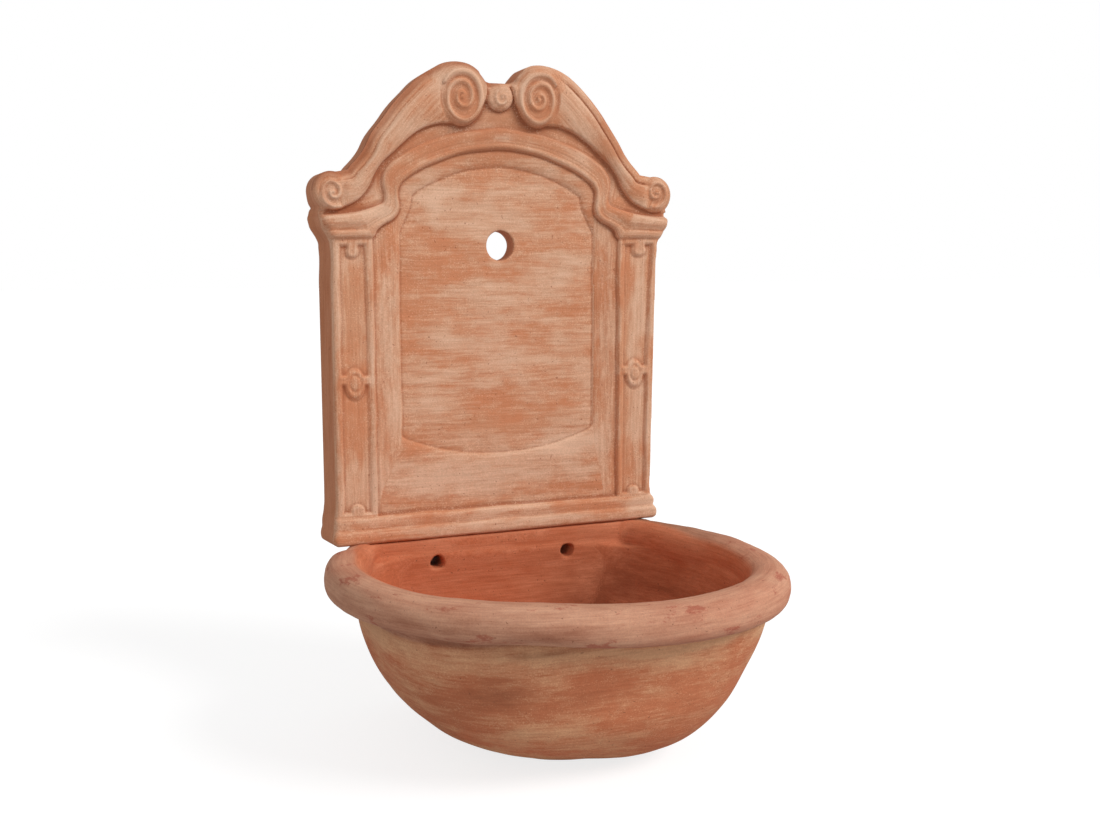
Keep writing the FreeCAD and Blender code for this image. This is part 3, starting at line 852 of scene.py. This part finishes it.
def surface_of(field, low, high, step):
    """Points and four-sided faces of the surface where a field is 0."""
    axes = [np.arange(a, b + step, step) for a, b in zip(low, high)]
    shape = tuple(len(a) for a in axes)
    level = np.empty(shape, np.float32)
    for k, z in enumerate(axes[2]):
        flat = np.stack(np.meshgrid(axes[0], axes[1], z, indexing="ij"), axis=-1)
        level[:, :, k] = field(flat.reshape(-1, 3)).reshape(shape[:2])
    inside = level > 0
    cell = tuple(n - 1 for n in shape)
    total = np.zeros(cell + (3,))
    count = np.zeros(cell)
    half = [slice(0, -1), slice(1, None)]
    for axis in range(3):
        one, other = (k for k in range(3) if k != axis)
        for i, j in ((0, 0), (0, 1), (1, 0), (1, 1)):
            a = [half[0]] * 3
            a[one], a[other] = half[i], half[j]
            b = list(a)
            b[axis] = half[1]
            a, b = tuple(a), tuple(b)
            crossing = inside[a] != inside[b]
            share = level[a] / np.where(crossing, level[a] - level[b], 1)
            total[..., axis] += np.where(crossing, share, 0)
            total[..., one] += i * crossing
            total[..., other] += j * crossing
            count += crossing
    used = count > 0
    index = np.full(cell, -1)
    index[used] = np.arange(used.sum())
    points = (np.argwhere(used) + total[used] / count[used][:, None]) * step + np.array(low)
    faces = []
    for axis in range(3):
        u, v = (axis + 1) % 3, (axis + 2) % 3
        a, b = [slice(1, -1)] * 3, [slice(1, -1)] * 3
        a[axis], b[axis] = half
        first, second = inside[tuple(a)], inside[tuple(b)]
        for left, way in ((first > second, 1), (second > first, -1)):
            ring = []
            for du, dv in ((1, 1), (0, 1), (0, 0), (1, 0))[::way]:
                spot = list(np.nonzero(left))
                spot[u] += du
                spot[v] += dv
                ring.append(index[tuple(spot)])
            faces.append(np.column_stack(ring))
    return points, np.vstack(faces)


def basin_mesh():
    """Closed mesh of the basin, pressed a little uneven."""
    points, faces = surface_of(basin_field, (-266, -8, -8), (268, 432, 226), basin_step)
    for _ in range(4):
        value = basin_field(points)
        slope = slope_of(points, basin_field)
        points = points - slope * (value / np.maximum((slope ** 2).sum(axis=1), 0.05))[:, None]
    normal = -slope / np.linalg.norm(slope, axis=1)[:, None]
    uneven = 0.5 * wobble(points, 80, 21) + 0.18 * wobble(points, 25, 22)
    _, front, height = points.T
    calm = ease(1, 8, front) * ease(1, 8, height)
    calm *= 1 - ease(208, 211, height) * ease(55, 50, front)
    points = points + normal * (uneven * calm)[:, None]

    x, front, height = points.T
    turn = np.arctan2(x, front - bowl_middle)
    # How hollow or raised each place is; the material paints shade into the hollows and creases
    # from it, weaker on the bowl's right where the light falls
    relief = -sum(gain * (basin_field(points + normal * reach) + reach)
                  for reach, gain in ((5.0, 0.5), (14.0, 0.16)))
    relief = np.clip(relief, -3, 3) * (1 - 0.6 * ease(-0.6, 0.35, turn))

    # Inside of the basin, and its rim
    line = plan_gap(x, front, *rim_plan)
    rear = ease(150, 60, front) * ease(60, 160, np.abs(x))
    in_bowl = ease(5, 9, bowl_side(points))
    in_rim = ease(9 - 16 * rear, 17 - 15 * rear, line)
    inside = between(in_bowl, in_rim, ease(186, 198, height))
    inside *= ease(36, 39, front) * ease(20, 24, height)
    foot = rim_uneven(x, front)[1]
    bead = ease(167 + foot, 171 + foot, height) * ease(24, 20, line)
    bead *= 1 - 0.8 * rear * (x > 0)

    # Brushing winds round the basin, and runs across its back wall
    swirl = 3.0 * np.maximum(130 - np.hypot(x, front - bowl_middle), 0) * (inside > 0.5)
    across = np.column_stack([turn * brush_radius + swirl, height, line + 500])
    on_back = (front < 48) & (inside > 0.3)
    across[on_back] = np.column_stack([x, height + 37, front])[on_back]
    place = np.column_stack([x / 1000, wall_y - front / 1000, height / 1000])
    values = {
        "grain": across / 1000, "relief": relief, "away": inside, "bead": bead,
        "bloom": basin_bloom_and_light(x, front, height, np.degrees(turn), inside),
        "stain_and_shade": basin_shade_and_marks(x, front, height, np.degrees(turn), inside),
    }
    return make_piece("basin_clay_body", place, [faces[:, ::-1]], values)


def basin_bloom_and_light(x, front, height, side, inside):
    """Pale bloom, thickest in an uneven band below the rim, with painted light on the bowl's
    right; side is an angle round the bowl.
    """
    wavy = height + 4 * np.sin(side / 9) + 3 * np.sin(side / 23 + 1)
    # Partly painted light: the bloom at 50 degrees lightens the bowl's right, where the light
    # falls
    outside = spots(side, wavy, [
        (20, 162, 34, 5, 1.7), (8, 150, 30, 8, 0.5), (-62, 156, 26, 14, 0.9),
        (-45, 168, 24, 8, 0.4), (50, 154, 16, 10, 0.7),
        (-24, 160, 16, 7, 0.4), (-20, 80, 17, 16, 0.65), (-52, 133, 9, 7, 0.5),
        (0, 90, 400, 55, -0.35), (-32, 128, 10, 20, -0.5), (14, 116, 17, 22, -0.5),
        (-20, 14, 50, 12, 0.25), (30, 204, 24, 22, 0.4), (-75, 206, 20, 14, 0.4),
        (-24, 210, 16, 8, 0.3), (70, 200, 20, 20, 0.2),
    ])
    return outside * (1 - inside) + inside * spots(x, height, [
        (-90, 206, 30, 8, 0.8), (20, 207, 70, 5, 0.4), (-150, 190, 16, 20, -0.4)]) * (front < 60)


def basin_shade_and_marks(x, front, height, side, inside):
    """Darker places: painted shade on the rim's front and left, in the crease below the rim, round
    the bowl's middle and inside on the right; the rim's rear right is darker too.
    """
    # Painted shade on the rim's front and left, in the crease below it and round the bowl's middle
    outside = spots(side, height, [
        (-31, 128, 9, 22, 0.5), (-22, 166, 9, 4, 0.4), (-52, 100, 16, 40, 0.3),
        (-10, 112, 12, 20, 0.2), (-30, 195, 38, 26, 0.55), (-75, 190, 22, 30, 0.35),
        (-40, 177, 22, 4, 0.45), (0, 171, 20, 4, 0.3), (32, 166, 24, 3, 0.25),
    ])
    rear = ease(240, 110, front) * ease(60, 160, x)
    outside = np.maximum(outside, 0.75 * rear * ease(184, 200, height))
    # Painted shade inside, deepest on the right and low down
    shaded = 0.42 * ease(0, 130, x) * ease(214, 130, height) + 0.08 * ease(190, 120, height)
    return outside * (1 - inside) + shaded * inside


# Materials

class Nodes:
    """Builds the nodes of one material or world."""

    def __init__(self, owner):
        owner.use_nodes = True
        self.owner = owner
        self.tree = owner.node_tree
        self.surface = self.tree.nodes.get("Principled BSDF") or self.tree.nodes["Background"]

    def node(self, kind, inputs=None, **settings):
        made = self.tree.nodes.new(kind)
        for key, value in settings.items():
            setattr(made, key, value)
        return self.fill(made, inputs or {})

    def fill(self, node, inputs):
        for key, value in inputs.items():
            if isinstance(value, bpy.types.NodeSocket):
                self.tree.links.new(value, node.inputs[key])
            else:
                node.inputs[key].default_value = value
        return node

    def layer(self, name, output="Fac"):
        return self.node("ShaderNodeAttribute", attribute_name=name).outputs[output]

    def math(self, operation, a, b):
        return self.node("ShaderNodeMath", {0: a, 1: b}, operation=operation).outputs[0]

    def times(self, value, factor):
        return self.math("MULTIPLY", value, factor)

    def total(self, *parts):
        """Sum of (value, share) pairs."""
        weighed = [value if share == 1 else self.times(value, share) for value, share in parts]
        return reduce(lambda a, b: self.math("ADD", a, b), weighed)

    def noise(self, where, scale, detail, roughness):
        return self.node("ShaderNodeTexNoise", {
            "Vector": where, "Scale": scale, "Detail": detail, "Roughness": roughness}).outputs[0]

    def streaks(self, grain, factors, detail, roughness):
        """Noise drawn out along the brush, factors for along, across and depth."""
        where = self.node("ShaderNodeVectorMath", {0: grain, 1: factors}, operation="MULTIPLY")
        return self.noise(where.outputs[0], 1.0, detail, roughness)

    def ramp(self, value, low, high, from_level=0.0, to_level=1.0):
        return self.node("ShaderNodeMapRange", {
            "Value": value, "From Min": low, "From Max": high,
            "To Min": from_level, "To Max": to_level}).outputs[0]

    def blend(self, share, a, b, how="MIX"):
        return self.node("ShaderNodeMix", {0: share, 6: a, 7: b},
                         data_type="RGBA", blend_type=how).outputs[2]

    def over(self, tone, paint, share, strength):
        """A paint laid over a tone where the share is high."""
        return self.blend(self.times(share, strength), tone, paint)


def colour(red, green, blue):
    """Linear colour from the usual 0 to 255 values."""
    levels = [v / 255 for v in (red, green, blue)]
    return [v / 12.92 if v <= 0.04045 else ((v + 0.055) / 1.055) ** 2.4 for v in levels] + [1.0]


def clay(name, body, pale, warm, dark, inner, bead=None, spread=1.0):
    """Brushed terracotta: streaks along the brush, pale bloom, warm tones, dark pores, painted
    shade in hollows.
    """
    s = Nodes(bpy.data.materials.new(name))
    grain = s.layer("grain", "Vector")
    relief, away, bloom, stain_and_shade = (s.layer(key) for key in ("relief", "away", "bloom", "stain_and_shade"))
    solid = s.node("ShaderNodeNewGeometry").outputs["Position"]
    hair = s.streaks(grain, (30, 900, 900), 3.0, 0.6)
    fine = s.streaks(grain, (18, 330, 330), 3.0, 0.6)
    broad = s.streaks(grain, (11, 62, 62), 4.0, 0.65)
    patches = s.streaks(grain, (10, 17, 17), 6.0, 0.66)
    cloud = s.noise(solid, 60.0, 4.0, 0.7)
    grit = s.noise(solid, 620.0, 2.0, 0.7)
    speck = s.noise(solid, 330.0, 1.0, 0.5)
    streak = s.total((hair, 0.40), (fine, 0.60))
    mix = s.total((streak, 0.26), (broad, 0.28), (patches, 0.46))
    lift = s.total((mix, 1), (bloom, 0.13), (relief, 0.020))

    # Warm and pale clay, and painted shade in the hollows
    paleness = s.ramp(lift, 0.535 - 0.075 * spread, 0.535 + 0.075 * spread)
    warmth = s.ramp(s.total((mix, 1), (cloud, 0.25)), 0.60 + 0.06 * spread, 0.60 - 0.06 * spread)
    tone = s.over(body, warm, warmth, 0.62)
    tone = s.over(tone, pale, paleness, 0.85)
    tone = s.over(tone, dark, s.ramp(relief, -0.40, -2.2), 0.65)

    # The rim's coat and its scuffs, pale grains, the lining, and the stains with painted shade
    grains = s.ramp(s.total((cloud, 0.35), (grit, 0.65), (lift, 0.3)), 0.69, 0.75)
    if bead:
        on_bead = s.layer("bead")
        tone = s.over(tone, s.blend(s.ramp(lift, 0.44, 0.62), bead[0], bead[2]), on_bead, 0.75)
        scuff = s.ramp(s.streaks(grain, (26, 46, 46), 6.0, 0.72), 0.57, 0.64)
        tone = s.over(tone, bead[1], s.times(scuff, on_bead), 0.7)
        grains = s.times(grains, s.ramp(on_bead, 0, 1, 1, 0.25))
    tone = s.over(tone, pale, grains, 0.45)
    # The lining colour, which on the plate's left bevel is painted shade
    tone = s.blend(away, tone, s.blend(s.ramp(lift, 0.44, 0.60), *inner))
    # Stains and painted shade darken the tone
    stain_and_shade_share = s.ramp(s.total((patches, 1), (broad, 1)), 0.8, 1.2, 1.1, 0.5)
    tone = s.over(tone, dark, stain_and_shade, stain_and_shade_share)

    # Light and dark streaks, pores, and the brush's furrows
    shade = s.ramp(s.total((streak, 0.55), (grit, 0.45)), 0.34, 0.66, 0.84, 1.12)
    tone = s.blend(1.0, tone, s.node("ShaderNodeCombineColor", {
        "Red": shade, "Green": shade, "Blue": shade}).outputs[0], "MULTIPLY")
    pit = s.ramp(speck, 0.725, 0.77)
    tone = s.over(tone, dark, pit, 0.55)
    height = s.math("SUBTRACT", s.total((streak, 0.6), (grit, 0.4)), s.times(pit, 0.6))
    bump = s.node("ShaderNodeBump", {
        "Strength": 0.45, "Distance": 0.0009, "Height": height}).outputs[0]
    rough = s.ramp(paleness, 0.0, 1.0, 0.80, 0.93)
    s.fill(s.surface, {
        "Base Color": tone, "Roughness": rough, "Normal": bump, "Specular IOR Level": 0.25})
    return s.owner


plate_clay = clay(
    "brushed_terracotta_plate",
    body=colour(207, 147, 111), pale=colour(225, 184, 155), warm=colour(204, 126, 85),
    dark=colour(146, 76, 44), inner=(colour(192, 122, 84), colour(205, 142, 108)))
basin_clay = clay(
    "brushed_terracotta_basin",
    body=colour(199, 124, 87), pale=colour(218, 168, 128), warm=colour(193, 108, 71),
    dark=colour(112, 66, 44), inner=(colour(196, 110, 73), colour(211, 133, 97)),
    bead=(colour(196, 134, 108), colour(174, 88, 68), colour(214, 162, 136)), spread=1.25)

plate = plate_mesh()
plate.data.materials.append(plate_clay)
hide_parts("backplate")
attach(plate, "backplate")

basin = basin_mesh()
basin.data.materials.append(basin_clay)
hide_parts("basin")
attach(basin, "basin")


# Floor, light and camera

def floor():
    """Pale floor: shown nearly white, its shadow light, while other rays see a plain floor."""
    s = Nodes(bpy.data.materials.new("pale_floor"))
    camera_ray = s.node("ShaderNodeLightPath").outputs["Is Camera Ray"]
    tone = s.blend(camera_ray, (0.62, 0.62, 0.62, 1), (0.34, 0.34, 0.34, 1))
    s.fill(s.surface, {"Base Color": tone, "Roughness": 0.9})
    glow = s.node("ShaderNodeEmission", {"Strength": s.times(camera_ray, 0.78)})
    both = s.node("ShaderNodeAddShader", {0: s.surface.outputs[0], 1: glow.outputs[0]})
    s.fill(s.tree.nodes["Material Output"], {"Surface": both.outputs[0]})
    mesh = bpy.data.meshes.new("floor")
    half = 40.0
    mesh.from_pydata([(-half, -half, 0), (half, -half, 0), (half, half, 0), (-half, half, 0)],
                     [], [(0, 1, 2, 3)])
    mesh.materials.append(s.owner)
    shown("floor", mesh)


def lamp(name, place, spread, power):
    """Distant soft lamp that shines from a place to the origin, spread in degrees."""
    data = bpy.data.lights.new(name, "SUN")
    data.angle = math.radians(spread)
    data.energy = power
    made = shown(name, data)
    made.location = place
    made.rotation_mode = "QUATERNION"
    made.rotation_quaternion = (-Vector(place)).to_track_quat("-Z", "Y")


def world():
    """White where the camera sees it, and a softer light on the object."""
    made = bpy.data.worlds.new("studio")
    bpy.context.scene.world = made
    s = Nodes(made)
    camera_ray = s.node("ShaderNodeLightPath").outputs["Is Camera Ray"]
    strength = s.ramp(camera_ray, 0, 1, 0.42, 1.0)
    s.fill(s.surface, {"Color": (1, 1, 1, 1), "Strength": strength})


def camera():
    """Camera at the photograph's viewing angle."""
    eye = Vector((-0.4885, -1.1794, 0.5204))
    yaw, pitch, roll = (math.radians(a) for a in (18.70, 7.91, -0.476))
    forward = Vector((math.sin(yaw) * math.cos(pitch), math.cos(yaw) * math.cos(pitch),
                      -math.sin(pitch)))
    level = Vector((math.cos(yaw), -math.sin(yaw), 0))
    above = level.cross(forward)
    right = level * math.cos(roll) + above * math.sin(roll)
    up = above * math.cos(roll) - level * math.sin(roll)
    data = bpy.data.cameras.new("photo_view")
    data.lens = 39.70
    data.sensor_width = 36.0
    data.shift_x = 0.0685
    data.shift_y = 0.0255
    made = shown("photo_view", data)
    turn = Matrix((right, up, -forward)).transposed().to_4x4()
    made.matrix_world = Matrix.Translation(eye) @ turn
    bpy.context.scene.camera = made


floor()
world()
lamp("key", (1.5, -1.7, 1.75), 26, 2.0)
lamp("fill", (-2.2, -2.2, 1.4), 50, 0.35)
camera()

scene = bpy.context.scene
scene.view_settings.view_transform = "Standard"
